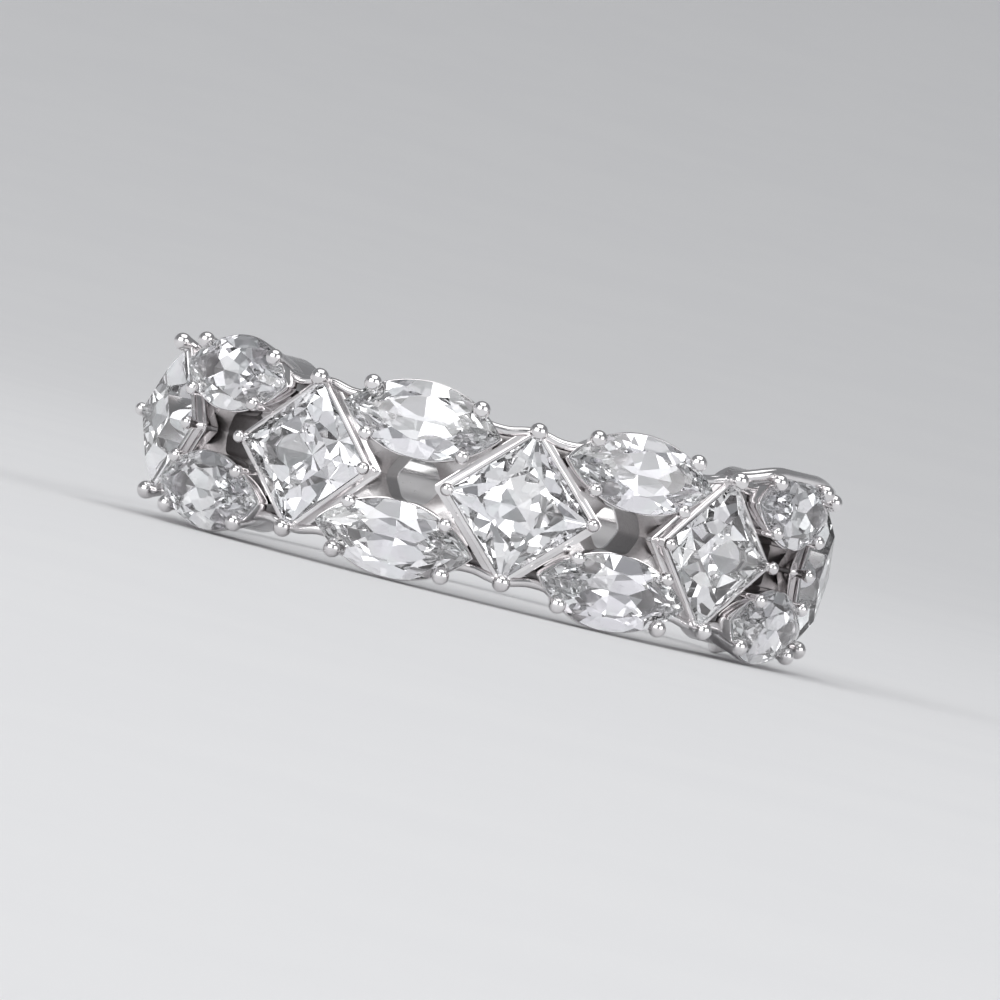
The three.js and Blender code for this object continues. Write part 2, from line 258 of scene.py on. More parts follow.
# %% [markdown]
# ### Pointed oval stone
#
# A marquise has the outline where two large circles overlap. Half of it is what is left of a wide
# drum when everything behind a chord is cut away, and a mirror makes the other half. The same
# outline comes back later as the wall round the stone, so it has a function of its own.
#
# The flats are those of a round stone, stretched: mains, girdle flats between them, and stars
# round the table. The two long sides below are split in two and meet in one low point, or else a
# single large patch of light would fill the table.

# %% Outline of the pointed oval stone
MARQUISE_HALF_LENGTH, MARQUISE_HALF_WIDTH = 1.53, 0.73
ARC_RADIUS = (MARQUISE_HALF_LENGTH**2 + MARQUISE_HALF_WIDTH**2) / (2 * MARQUISE_HALF_WIDTH)
ARC_OFFSET = ARC_RADIUS - MARQUISE_HALF_WIDTH


def pointed_oval(border, low, high, segments):
    """An upright solid with the stone's outline and a border round it."""
    bm = bmesh.new()
    radius = ARC_RADIUS + border
    bmesh.ops.create_cone(
        bm, cap_ends=True, segments=segments, radius1=radius, radius2=radius, depth=high - low,
    )
    bmesh.ops.translate(bm, vec=(0, -ARC_OFFSET, (high + low) / 2), verts=bm.verts)
    bmesh.ops.bisect_plane(
        bm, geom=bm.verts[:] + bm.edges[:] + bm.faces[:], dist=TOUCH_DISTANCE,
        plane_co=(0, 0, 0), plane_no=(0, -1, 0), clear_outer=True,
    )
    everything = bm.verts[:] + bm.edges[:] + bm.faces[:]
    bmesh.ops.mirror(bm, geom=everything, axis="Y", merge_dist=MERGE_DISTANCE)
    bmesh.ops.recalc_face_normals(bm, faces=bm.faces)
    return bm


print(f"outline: two circles of {ARC_RADIUS:.2f} mm radius, {2 * ARC_OFFSET:.2f} mm apart")

# %% Pointed oval stone
MARQUISE_CROWN, MARQUISE_DEPTH = 0.27, 0.68
MARQUISE_SEGMENTS = 160
BETWEEN_MAINS = [28, 152, 208, 332, 73, 107, 253, 287]
# Columns as in the table of the square stone
MARQUISE_TABLE = [
    ([0, 180, 56, 124, 236, 304, 90, 270], 1.0, GIRDLE_HALF, 0.58, MARQUISE_CROWN),
    (BETWEEN_MAINS, 1.0, GIRDLE_HALF, 0.86, 0.14),
    (BETWEEN_MAINS, 0.84, 0.19, 0.54, MARQUISE_CROWN),
    ([0, 180], 1.0, -GIRDLE_HALF, 0.4, -MARQUISE_DEPTH),
    ([56, 124, 236, 304], 1.0, -GIRDLE_HALF, 0.37, -MARQUISE_DEPTH),
    ([83, 97, 263, 277], 1.0, -GIRDLE_HALF, 0.0, -MARQUISE_DEPTH),
    (BETWEEN_MAINS, 1.0, -GIRDLE_HALF, 0.6, -0.36),
]


def marquise_edge_in(direction):
    sideways = abs(math.sin(math.radians(direction)))
    to_tip = MARQUISE_HALF_LENGTH * abs(math.cos(math.radians(direction)))
    to_arc = ARC_RADIUS - ARC_OFFSET * sideways
    return to_arc if sideways > ARC_OFFSET / ARC_RADIUS else to_tip


def ground_marquise():
    bm = pointed_oval(0, -ROUGH_HALF_HEIGHT, ROUGH_HALF_HEIGHT, MARQUISE_SEGMENTS)
    grind(bm, Vector((0, 0, 1)), Vector((0, 0, MARQUISE_CROWN)))
    grind_all(bm, marquise_edge_in, MARQUISE_TABLE)
    return bm


sample = ground_marquise()
print("pointed oval stone:", len(sample.faces), "faces,", round(sample.calc_volume(), 2), "mm3")
sample.free()

# %% [markdown]
# ## Writing materials as sums
#
# A material is a graph of nodes, and arithmetic in it is hard to read as boxes. This small class
# wraps a socket, so that `1 - mask * 0.3` adds the Math nodes that it needs. Every other node
# comes from one method, which takes its type, its settings and what goes into its sockets.

# %% Sockets that can be added and multiplied
class Socket:
    def __init__(self, nodes, socket):
        self.nodes = nodes
        self.socket = socket

    def _math(self, operation, left, right):
        return self.nodes.node("ShaderNodeMath", {"operation": operation}, [left, right])

    def __add__(self, other):
        return self._math("ADD", self, other)

    def __radd__(self, other):
        return self._math("ADD", other, self)

    def __sub__(self, other):
        return self._math("SUBTRACT", self, other)

    def __rsub__(self, other):
        return self._math("SUBTRACT", other, self)

    def __mul__(self, other):
        return self._math("MULTIPLY", self, other)

    def __rmul__(self, other):
        return self._math("MULTIPLY", other, self)

    def __pow__(self, other):
        return self._math("POWER", self, other)

    def __rpow__(self, other):
        return self._math("POWER", other, self)


# %% The nodes of one material
class Nodes:
    def __init__(self, name):
        self.material = bpy.data.materials.new(name)
        self.material.use_nodes = True
        self.tree = self.material.node_tree
        self.shader = self.tree.nodes["Principled BSDF"]

    def node(self, kind, settings, inputs, output=0):
        """Adds a node; inputs are a list in order or a dictionary by name or number."""
        made = self.tree.nodes.new(kind)
        for key, value in settings.items():
            setattr(made, key, value)
        for key, value in enumerate(inputs) if isinstance(inputs, list) else inputs.items():
            self.feed(made.inputs[key], value)
        return Socket(self, made.outputs[output])

    def feed(self, target, value):
        if isinstance(value, Socket):
            self.tree.links.new(value.socket, target)
        else:
            target.default_value = value

    def surface(self, **inputs):
        for key, value in inputs.items():
            self.feed(self.shader.inputs[key.replace("_", " ")], value)
        print(f"material {self.material.name}: {len(self.tree.nodes)} nodes")
        return self.material


# %% [markdown]
# ## What the materials share
#
# All patterns are laid out in millimetres round one point, the middle of the ring or the hinge.
# Object coordinates are fixed to the piece, so a pattern stays on the metal when the ring opens.
# A Mapping node scales them to millimetres and moves their zero to that point.
#
# Noise gives clouds and grain. A smooth ramp turns a distance or a noise into a mask, and Mix
# blends two colours by such a mask.

# %% Coordinates, noise, ramps and blends
METRES_TO_MM = (1 / MM, 1 / MM, 1 / MM)
OBJECT_COORDINATES = 3
MIX_FACTOR, MIX_FIRST, MIX_SECOND, MIX_COLOUR = 0, 6, 7, 2


def millimetres_from(nodes, zero):
    raw = nodes.node("ShaderNodeTexCoord", {}, [], OBJECT_COORDINATES)
    return nodes.node("ShaderNodeMapping", {"vector_type": "POINT"}, {
        "Vector": raw, "Scale": METRES_TO_MM, "Location": -zero,
    })


def noise(nodes, place, per_mm, detail=2.0):
    return nodes.node("ShaderNodeTexNoise", {}, {"Vector": place, "Scale": per_mm, "Detail": detail})


def ramp(nodes, value, start, end, at_start=0.0, at_end=1.0):
    return nodes.node("ShaderNodeMapRange", {"interpolation_type": "SMOOTHSTEP"}, {
        "Value": value, "From Min": start, "From Max": end, "To Min": at_start, "To Max": at_end,
    })


def blend(nodes, mask, first, second):
    return nodes.node("ShaderNodeMix", {"data_type": "RGBA"}, {
        MIX_FACTOR: mask, MIX_FIRST: first, MIX_SECOND: second,
    }, MIX_COLOUR)


def split(nodes, vector):
    """The x, y and z of a vector, as three sockets."""
    first = nodes.node("ShaderNodeSeparateXYZ", {}, [vector])
    return [Socket(nodes, output) for output in first.socket.node.outputs]


def bumps(nodes, height, depth_mm):
    """A height from 0 to 1 as bumps of a real depth."""
    return nodes.node("ShaderNodeBump", {}, {
        "Height": height, "Strength": 1.0, "Distance": depth_mm * MM,
    })


# %% [markdown]
# ## Finish of the stones
#
# The stones are polished cubic zirconia, clear and colourless, with an index of refraction well
# above that of glass. A glass shader with flat facets does most of the work. Two things are added.
# A real stone is never quite without colour, so faint clouds of lilac and of sea green drift
# through the white. And its thin edge, the girdle, is left ground and frosted, not polished. The
# stones carry a mask of their own for it, an attribute that is 1 on the upright faces.

# %% Clear stone
STONE_INDEX = 2.17
LILAC_PER_MM, SEA_GREEN_PER_MM, GRIT_PER_MM = 0.9, 1.7, 30.0
LILAC_EDGE, SEA_GREEN_EDGE = (0.42, 0.62), (0.52, 0.66)
FROST = 0.3
WHITE, LILAC, SEA_GREEN = (1.0, 1.0, 1.0, 1.0), (0.965, 0.955, 1.0, 1.0), (0.955, 0.995, 1.0, 1.0)


def clear_stone():
    nodes = Nodes("clear_stone")
    place = millimetres_from(nodes, centre)
    lilac = ramp(nodes, noise(nodes, place, LILAC_PER_MM), *LILAC_EDGE)
    sea_green = ramp(nodes, noise(nodes, place, SEA_GREEN_PER_MM), *SEA_GREEN_EDGE)
    colour = blend(nodes, sea_green, blend(nodes, lilac, WHITE, LILAC), SEA_GREEN)
    frosted = nodes.node("ShaderNodeAttribute", {"attribute_name": "girdle"}, [], "Fac")
    ground = 0.7 + 0.6 * noise(nodes, place, GRIT_PER_MM)
    return nodes.surface(
        Base_Color=colour, Roughness=FROST * frosted * ground, IOR=STONE_INDEX, Transmission_Weight=1.0,
    )


STONE = clear_stone()

# %% [markdown]
# ## Setting the stones
#
# Each stone stands in for one node of the imported model. It rides on the body of the band, so it
# stays with the band when the wire swings. The two stones of a pair lie on either side of mid
# height, and they are tilted a little outwards.

# %% Dress a piece and name the node it stands for
def dress(piece, material, node, body):
    piece.data.materials.clear()
    piece.data.materials.append(material)
    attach(piece, body)
    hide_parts(node)


# %% Set every stone
EVERY_EDGE_SHARP = 0.5
PAIR_HEIGHT, PAIR_TILT = 1.14, 8.0
UPRIGHT = 0.02


def pair_seats(angle):
    return [
        (row, side, seat(angle, side * PAIR_HEIGHT, side * PAIR_TILT))
        for row, side in (("upper", 1), ("lower", -1))
    ]


def set_stone(bm, name, place, node):
    girdle = bm.faces.layers.float.new("girdle")
    bm.normal_update()
    for face in bm.faces:
        face[girdle] = float(abs(face.normal.z) < UPRIGHT)
    stone = to_object(bm, name, place)
    finish_mesh(stone, EVERY_EDGE_SHARP)
    dress(stone, STONE, node, "band")


for i, angle in enumerate(SQUARE_ANGLES, 1):
    set_stone(ground_square(), f"square_stone_{i}", seat(angle), f"princess_stone_{i}")

for i, angle in enumerate(PAIR_ANGLES, 1):
    for row, side, place in pair_seats(angle):
        set_stone(ground_marquise(), f"pointed_stone_{row}_{i}", place, f"marquise_{row}_{i}")

# %% [markdown]
# ## The cast setting
#
# On the real ring the band is cast in one piece from a wax model. The model is built up as here: a
# curved base, rails along its edges, a wall round each stone, plates between them and prongs with
# round heads. They are joined into one solid. Then the seats, the windows behind the stones and
# the openings between them are cut away. It could also be one mesh pulled into shape, but solids
# that are joined and cut keep the crisp edges of a setter's burs.
#
# ### Base
#
# The base is one section swept round the ring's axis. Its width follows the stones: it swells
# beside each pair and dips beside each square stone. At both ends it grows into a plain block,
# which the ring rests on, and then narrows to the hinge and to the catch. Beside the hinge it is
# also a little thinner, so that the wire has room to swing right back. The two swells and the
# dip are blended by a soft maximum, so the edge runs as one wavy line.

# %% How far the edge of the stones is from mid height
EDGE_BETWEEN_CORNERS, EDGE_AT_CORNER = 1.42, 1.5
DIP_START, DIP_END = 0.1, 0.6
EDGE_SOFTNESS = 0.05


def smooth(start, end, value):
    """Rises from 0 at start to 1 at end, without a corner."""
    share = min(max((value - start) / (end - start), 0), 1)
    return share * share * (3 - 2 * share)


def along_girdle(degrees):
    return GIRDLE_RADIUS * math.radians(degrees)


def seat_edge(angle):
    from_pair = min(abs(along_girdle(angle - pair)) for pair in PAIR_ANGLES)
    from_square = min(abs(along_girdle(angle - square)) for square in SQUARE_ANGLES)
    beside_pair = PAIR_HEIGHT + MARQUISE_HALF_WIDTH * (1 - (from_pair / MARQUISE_HALF_LENGTH) ** 2)
    dip = (EDGE_AT_CORNER - EDGE_BETWEEN_CORNERS) * smooth(DIP_START, DIP_END, from_square)
    beside_square = EDGE_AT_CORNER - dip
    swells = math.exp(beside_pair / EDGE_SOFTNESS) + math.exp(beside_square / EDGE_SOFTNESS)
    return EDGE_SOFTNESS * math.log(swells)


print("edge at a pair", round(seat_edge(PAIR_ANGLES[0]), 2), "and at a corner", round(seat_edge(0), 2))

# %% How far the edge of the base is from mid height
HALF_WIDTH = centre.z
BASE_INSET = 0.18
BLOCK_START, BLOCK_FULL = 83.0, 87.0
TAPER_START, TAPER_END = 92.0, 100.0
END_HALF_HEIGHT = 0.93
BLOCK_RADIUS = 6.2
BLOCK_TOP, BLOCK_SHOULDER = 1.6, 1.42
TOP_FLAT_RADIUS, FOOT_RADIUS = 5.4, 5.6


def base_edge(angle, radius, side):
    """The end blocks are flat near the ring and slope away outside; the foot is the lower one."""
    flat_to, full = (TOP_FLAT_RADIUS, BLOCK_TOP) if side > 0 else (FOOT_RADIUS, HALF_WIDTH)
    outwards = max(radius - flat_to, 0) / (BLOCK_RADIUS - flat_to)
    block = full + (BLOCK_SHOULDER - full) * outwards
    beside_stones = seat_edge(angle) - BASE_INSET
    widened = beside_stones + (block - beside_stones) * smooth(BLOCK_START, BLOCK_FULL, abs(angle))
    return widened + (END_HALF_HEIGHT - widened) * smooth(TAPER_START, TAPER_END, abs(angle))


# %% [markdown]
# A section is drawn flat, with x pointing away from the ring's axis and y up. It is stood up at
# its radius, turned to where the sweep starts and spun round the axis. The spin leaves both ends
# closed by the section's own face.

# %% Sweep a section round the ring
def ring_angle(point):
    """Angle round the ring, from the middle of the front, for a point counted from the axis."""
    return math.degrees(math.atan2(point.x, -point.y))


def sweep(bm, radius, start, end, steps):
    bmesh.ops.rotate(bm, matrix=Matrix.Rotation(math.pi / 2, 3, "X"), verts=bm.verts)
    bmesh.ops.translate(bm, vec=(radius, 0, 0), verts=bm.verts)
    bmesh.ops.rotate(bm, matrix=Matrix.Rotation(math.radians(start - 90), 3, "Z"), verts=bm.verts)
    bmesh.ops.spin(
        bm, geom=bm.faces[:], axis=(0, 0, 1), cent=(0, 0, 0), angle=math.radians(end - start),
        steps=steps, use_duplicate=False,
    )
    bmesh.ops.recalc_face_normals(bm, faces=bm.faces)
    return bm


def round_section(radius, segments):
    bm = bmesh.new()
    bmesh.ops.create_circle(bm, cap_ends=True, radius=radius, segments=segments)
    return bm


def rounded_section(width, height, rounding):
    bm = bmesh.new()
    bmesh.ops.create_circle(bm, cap_ends=True, radius=math.sqrt(0.5), segments=4)
    bmesh.ops.rotate(bm, matrix=Matrix.Rotation(math.radians(45), 3, "Z"), verts=bm.verts)
    bmesh.ops.scale(bm, vec=(width, height, 1), verts=bm.verts)
    bmesh.ops.bevel(
        bm, geom=bm.verts[:], offset=rounding, offset_type="OFFSET", affect="VERTICES",
        segments=4, profile=0.5, material=-1,
    )
    return bm


# %% Round off edges
def round_off(bm, edges, width, segments=3):
    bmesh.ops.bevel(
        bm, geom=edges, offset=width, offset_type="OFFSET", affect="EDGES",
        segments=segments, profile=0.5, material=-1,
    )


# %% Base of the band
INNER_RADIUS, BASE_RADIUS = 5.0, 5.85
BASE_ROUNDING, END_ROUNDING = 0.1, 0.06
BASE_MIDDLE = (INNER_RADIUS + BASE_RADIUS) / 2
BASE_STEPS = 240
HINGE_THINNING = 0.035
CATCH_FACE = 0.01 - HINGE_ANGLE

bm = rounded_section(BASE_RADIUS - INNER_RADIUS, 2, BASE_ROUNDING)
sweep(bm, BASE_MIDDLE, -HINGE_ANGLE, HINGE_ANGLE, BASE_STEPS)
for vert in bm.verts:
    angle = ring_angle(vert.co)
    if vert.co.xy.length > BASE_MIDDLE:
        thicker = (BLOCK_RADIUS / BASE_RADIUS - 1) * smooth(BLOCK_START, BLOCK_FULL, abs(angle))
        thicker -= HINGE_THINNING * smooth(TAPER_START, TAPER_END, angle)
        vert.co.xy *= 1 + thicker
    vert.co.z *= base_edge(angle, vert.co.xy.length, vert.co.z)
at_catch = [edge for edge in bm.edges if all(ring_angle(v.co) < CATCH_FACE for v in edge.verts)]
round_off(bm, at_catch, END_ROUNDING)
setting = to_object(bm, "setting", Matrix.Translation(centre))
added, removed = [], []
print("base:", len(setting.data.polygons), "faces,", len(at_catch), "edges rounded at the catch")

# %% [markdown]
# ### Rails and rim
#
# A thin round rail follows each edge of the band, just under the stones. Past the last stones it
# sinks into the end blocks, so that no loose end shows. Beside the hinge a thicker plain rim
# covers the outer side of the last pair, from the point of one square stone past the next, and
# it sinks into the block too.

# %% Rails along both edges
RAIL_RADIUS, RAIL_THICK = 6.28, 0.1
RAIL_BELOW_EDGE, RAIL_SINKS, RAIL_DRAWN_IN = 0.1, 0.22, 0.05
RAIL_SINKS_FROM = 79.0
RAIL_SEGMENTS, RAIL_STEPS = 16, 220

for side in (1, -1):
    section = round_section(RAIL_THICK, RAIL_SEGMENTS)
    bm = sweep(section, RAIL_RADIUS, -BLOCK_FULL, BLOCK_FULL, RAIL_STEPS)
    for vert in bm.verts:
        angle = ring_angle(vert.co)
        sunk = smooth(RAIL_SINKS_FROM, BLOCK_FULL, abs(angle))
        vert.co.z += side * (seat_edge(angle) - RAIL_BELOW_EDGE - RAIL_SINKS * sunk)
        vert.co.xy *= 1 - RAIL_DRAWN_IN * sunk
    added.append(to_object(bm, "rail", Matrix.Translation(centre)))
print("rails:", len(added))

# %% Rim beside the hinge
RIM_START, RIM_UP, RIM_DOWN, RIM_LEVEL = 38.0, 50.0, 62.0, 78.0
RIM_HEIGHT, RIM_RISE, RIM_FALL = 1.5, 0.27, 0.16
RIM_THICK, RIM_RADIUS, RIM_SWELL = 0.12, 6.3, 0.035
RIM_SINKS_FROM, RIM_SINKS, RIM_DRAWN_IN = 76.0, 0.32, 0.085
RIM_SEGMENTS, RIM_STEPS = 20, 72

bm = sweep(round_section(RIM_THICK, RIM_SEGMENTS), RIM_RADIUS, RIM_START, BLOCK_FULL, RIM_STEPS)
for vert in bm.verts:
    angle = ring_angle(vert.co)
    rise = RIM_RISE * smooth(RIM_START, RIM_UP, angle) - RIM_FALL * smooth(RIM_DOWN, RIM_LEVEL, angle)
    sunk = smooth(RIM_SINKS_FROM, BLOCK_FULL, angle)
    vert.co.z += RIM_HEIGHT + rise - RIM_SINKS * sunk
    vert.co.xy *= 1 + RIM_SWELL * smooth(RIM_START, RIM_UP, angle) - RIM_DRAWN_IN * sunk
added.append(to_object(bm, "rim", Matrix.Translation(centre)))
print("rim highest at", round(RIM_HEIGHT + RIM_RISE + RIM_THICK, 2), "of", round(HALF_WIDTH, 2), "mm")

# %% [markdown]
# ### Walls round the stones
#
# Each stone sits in a wall that follows its outline and narrows inwards, like a tiny basket. The
# square stones have a second, wider and lower wall, which shows as a bright line beside the
# first. A cone with four sides is a tapered square, and its corners are already on the axes. The
# upper and the lower corner are ground off, or they would stand out past the rails. The pointed
# wall is the outline of the pointed stone with a border, drawn in at its lower end.

# %% Walls round the square stones
WALL_DEPTH, WALL_TAPER = 0.8, 0.75
WALL_CORNER, WALL_EDGE = 0.09, 0.03
# Columns: border outside the stone, level of the wall's top
SQUARE_WALLS = [(0.09, 0.0), (0.19, -0.17)]
WALL_REACH = 1.47


def edges_at(bm, level):
    return [edge for edge in bm.edges if all(abs(vert.co.z - level) < TOUCH_DISTANCE for vert in edge.verts)]


def upright_edges(bm):
    return [edge for edge in bm.edges if abs(edge.verts[0].co.z - edge.verts[1].co.z) > WALL_DEPTH / 2]


def square_wall(place, border, top):
    bm = bmesh.new()
    corner = (SQUARE_HALF_SIDE + border) * math.sqrt(2)
    bmesh.ops.create_cone(
        bm, cap_ends=True, segments=4, radius1=corner * WALL_TAPER, radius2=corner, depth=WALL_DEPTH,
    )
    bmesh.ops.translate(bm, vec=(0, 0, top - WALL_DEPTH / 2), verts=bm.verts)
    round_off(bm, upright_edges(bm), WALL_CORNER, segments=4)
    round_off(bm, edges_at(bm, top), WALL_EDGE, segments=2)
    for side in (1, -1):
        grind(bm, Vector((0, side, 0)), Vector((0, side * WALL_REACH, 0)))
    return to_object(bm, "square_wall", place)


for angle in SQUARE_ANGLES:
    added += [square_wall(seat(angle), border, top) for border, top in SQUARE_WALLS]
print("solids to join so far:", len(added))

# %% Walls round the pointed stones
POINTED_BORDER, POINTED_TAPER, POINTED_EDGE = 0.035, 0.85, 0.025
POINTED_SEGMENTS = 192


def pointed_wall(place):
    bm = pointed_oval(POINTED_BORDER, -WALL_DEPTH, 0, POINTED_SEGMENTS)
    lower = [vert for vert in bm.verts if vert.co.z < -WALL_DEPTH / 2]
    bmesh.ops.scale(bm, vec=(POINTED_TAPER, POINTED_TAPER, 1), verts=lower)
    round_off(bm, edges_at(bm, 0), POINTED_EDGE, segments=2)
    return to_object(bm, "pointed_wall", place)


for angle in PAIR_ANGLES:
    added += [pointed_wall(place) for _, _, place in pair_seats(angle)]
print("solids to join so far:", len(added))

# %% Plates between the stones of a pair
PLATE_SIZE, PLATE_TOP = Vector((2.7, 2.0, 1.0)), -0.32

for angle in PAIR_ANGLES:
    bm = bmesh.new()
    bmesh.ops.create_cube(bm, size=1)
    bmesh.ops.scale(bm, vec=PLATE_SIZE, verts=bm.verts)
    bmesh.ops.translate(bm, vec=(0, 0, PLATE_TOP - PLATE_SIZE.z / 2), verts=bm.verts)
    added.append(to_object(bm, "plate", seat(angle)))
print("plates:", len(PAIR_ANGLES))

# %% [markdown]
# ### Prongs
#
# A prong is a small claw whose head was rounded to a ball with a cupped bur, and pushed over the
# edge of the stone. Its foot thins out and leans in along the wall. Half of its profile is drawn
# as a line, from the foot up and round the head, and spun. The lean is a shear that grows with
# depth. Each square stone has two large heads above and below and two small ones at its sides.
# Each pointed stone has two larger heads on the ring's edge and two smaller ones on its inner arc.

# %% Prongs
HEAD_RADIUS, HEAD_LIFT = 0.175, 0.14
STEM_SHARE, FOOT_SHARE = 0.68, 0.3
PRONG_DEPTH, STEM_DEPTH = 0.8, 0.3
HEAD_FROM, HEAD_STEPS, PRONG_STEPS = -40, 8, 24
PRONG_LEAN = 0.3
# Columns: place along the band, place across it, size of the head
SQUARE_PRONGS = [(0, 1.45, 1), (0, -1.45, 1), (1.41, 0, 0.74), (-1.41, 0, 0.74)]
POINTED_PRONGS = [(1.07, 0.44, 0.95), (-1.07, 0.44, 0.95), (0.95, -0.51, 0.8), (-0.95, -0.51, 0.8)]


def prong(place, along, across, size):
    """A claw at a place beside a stone: along the band, across it, and the size of its head."""
    head = HEAD_RADIUS * size
    stem = head * STEM_SHARE
    foot = stem * FOOT_SHARE
    profile = [(0, -PRONG_DEPTH), (foot, -PRONG_DEPTH), (stem, -STEM_DEPTH), (stem, HEAD_LIFT - head)]
    for i in range(HEAD_STEPS + 1):
        turn = math.radians(HEAD_FROM + i * (90 - HEAD_FROM) / HEAD_STEPS)
        profile.append((head * math.cos(turn), HEAD_LIFT + head * math.sin(turn)))
    bm = bmesh.new()
    corners = [bm.verts.new((x, 0, z)) for x, z in profile]
    line = [bm.edges.new(pair) for pair in zip(corners, corners[1:])]
    bmesh.ops.spin(
        bm, geom=corners + line, axis=(0, 0, 1), cent=(0, 0, 0), angle=math.tau,
        steps=PRONG_STEPS, use_merge=True,
    )
    bmesh.ops.remove_doubles(bm, verts=bm.verts, dist=TOUCH_DISTANCE)
    bmesh.ops.recalc_face_normals(bm, faces=bm.faces)
    for vert in bm.verts:
        lean = PRONG_LEAN * min(vert.co.z, 0)
        vert.co += Vector((along, across, 0)) * (1 + lean)
    return to_object(bm, "prong", place)


for angle in SQUARE_ANGLES:
    added += [prong(seat(angle), *row) for row in SQUARE_PRONGS]
for angle in PAIR_ANGLES:
    for _, side, place in pair_seats(angle):
        added += [prong(place, along, side * across, size) for along, across, size in POINTED_PRONGS]
print("solids to join so far:", len(added))

# %% [markdown]
# ### Hinge eyes, and everything joined
#
# At the hinge the band ends in an upright drum. A gap for the wire's eye will be cut out of its
# middle, which leaves a fork of two eyes.

# %% Drums and blocks
EYE_RADIUS, EYE_HALF_HEIGHT, EYE_RIM = 0.66, 0.95, 0.06
DRUM_SEGMENTS = 48


def drum(point, radius, half_height, rim=0.0):
    bm = bmesh.new()
    bmesh.ops.create_cone(
        bm, cap_ends=True, segments=DRUM_SEGMENTS,
        radius1=radius, radius2=radius, depth=2 * half_height,
    )
    if rim:
        round_off(bm, edges_at(bm, half_height) + edges_at(bm, -half_height), rim)
    return to_object(bm, "drum", Matrix.Translation(point))


def block(point, size, rim=0.0, turn=Matrix.Identity(3)):
    bm = bmesh.new()
    bmesh.ops.create_cube(bm, size=1)
    bmesh.ops.scale(bm, vec=size, verts=bm.verts)
    if rim:
        round_off(bm, bm.edges[:], rim)
    return to_object(bm, "block", Matrix.Translation(point) @ turn.to_4x4())


added.append(drum(hinge_point, EYE_RADIUS, EYE_HALF_HEIGHT, EYE_RIM))
boolean(setting, added, "UNION")

# %% [markdown]
# ### Seats, windows and openings
#
# The seats are cut with the stones themselves, grown by about one part in a hundred, so that a
# stone never quite touches the metal. Behind each stone a window is cut through the band. It
# lets light in from behind and lets the wearer clean the stone. Between the stones of each pair
# there is an opening with six sides right through the band. Round it the plate is ground down in
# four slopes. Left flat, it would mirror one even tone, and each slope catches another part of
# the surroundings. The tool for them is a cone with four sides and its point down.

# %% Seats and windows
SEAT_GROWTH = 1.012
SQUARE_WINDOW = dict(radius1=1.0, radius2=0.75, depth=1.2)
SQUARE_WINDOW_LEVEL = -1.3
POINTED_WINDOW = dict(radius1=0.95, radius2=0.7, depth=1.5)
POINTED_WINDOW_LEVEL, POINTED_WINDOW_WIDTH = -1.25, 0.38
SQUARE_WINDOW_SIDES, POINTED_WINDOW_SIDES = 4, 32


def window(place, sides, width, level, cone):
    bm = bmesh.new()
    bmesh.ops.create_cone(bm, cap_ends=True, segments=sides, **cone)
    bmesh.ops.scale(bm, vec=(1, width, 1), verts=bm.verts)
    bmesh.ops.translate(bm, vec=(0, 0, level), verts=bm.verts)
    return to_object(bm, "window", place)


def square_window(place):
    return window(place, SQUARE_WINDOW_SIDES, 1, SQUARE_WINDOW_LEVEL, SQUARE_WINDOW)


def pointed_window(place):
    level, width = POINTED_WINDOW_LEVEL, POINTED_WINDOW_WIDTH
    return window(place, POINTED_WINDOW_SIDES, width, level, POINTED_WINDOW)


grown = Matrix.Scale(SEAT_GROWTH, 4)
for angle in SQUARE_ANGLES:
    removed.append(to_object(ground_square(), "seat", seat(angle) @ grown))
    removed.append(square_window(seat(angle)))
for angle in PAIR_ANGLES:
    for _, _, place in pair_seats(angle):
        removed.append(to_object(ground_marquise(), "seat", place @ grown))
        removed.append(pointed_window(place))
print("solids to cut so far:", len(removed))

# %% Openings with six sides
HEXAGON_WAIST, HEXAGON_HEIGHT = math.cos(math.radians(60)), math.sin(math.radians(60))
OPENING_HALF_LENGTH, OPENING_HALF_HEIGHT, OPENING_WAIST = 0.57, 0.41, 0.34
OPENING_LOW, OPENING_HIGH, OPENING_CORNER = -2.2, 0.6, 0.1
OPENING_SIDES = 6

for angle in PAIR_ANGLES:
    bm = bmesh.new()
    bmesh.ops.create_cone(
        bm, cap_ends=True, segments=OPENING_SIDES,
        radius1=1, radius2=1, depth=OPENING_HIGH - OPENING_LOW,
    )
    bmesh.ops.rotate(bm, matrix=Matrix.Rotation(math.radians(90), 3, "Z"), verts=bm.verts)
    tips = [vert for vert in bm.verts if abs(vert.co.y) < HEXAGON_HEIGHT / 2]
    waist = [vert for vert in bm.verts if abs(vert.co.y) > HEXAGON_HEIGHT / 2]
    bmesh.ops.scale(bm, vec=(OPENING_HALF_LENGTH, 1, 1), verts=tips)
    narrowed = (OPENING_WAIST / HEXAGON_WAIST, OPENING_HALF_HEIGHT / HEXAGON_HEIGHT, 1)
    bmesh.ops.scale(bm, vec=narrowed, verts=waist)
    bmesh.ops.translate(bm, vec=(0, 0, (OPENING_HIGH + OPENING_LOW) / 2), verts=bm.verts)
    round_off(bm, upright_edges(bm), OPENING_CORNER)
    removed.append(to_object(bm, "opening", seat(angle)))
print("openings:", len(PAIR_ANGLES), "each", 2 * OPENING_HALF_LENGTH, "by", 2 * OPENING_HALF_HEIGHT, "mm")

# %% Four slopes down to each opening
SLOPE_HALF_LENGTH, SLOPE_HALF_HEIGHT = 1.25, 0.95
SLOPE_DEPTH, SLOPE_LIFT = 0.42, 0.002

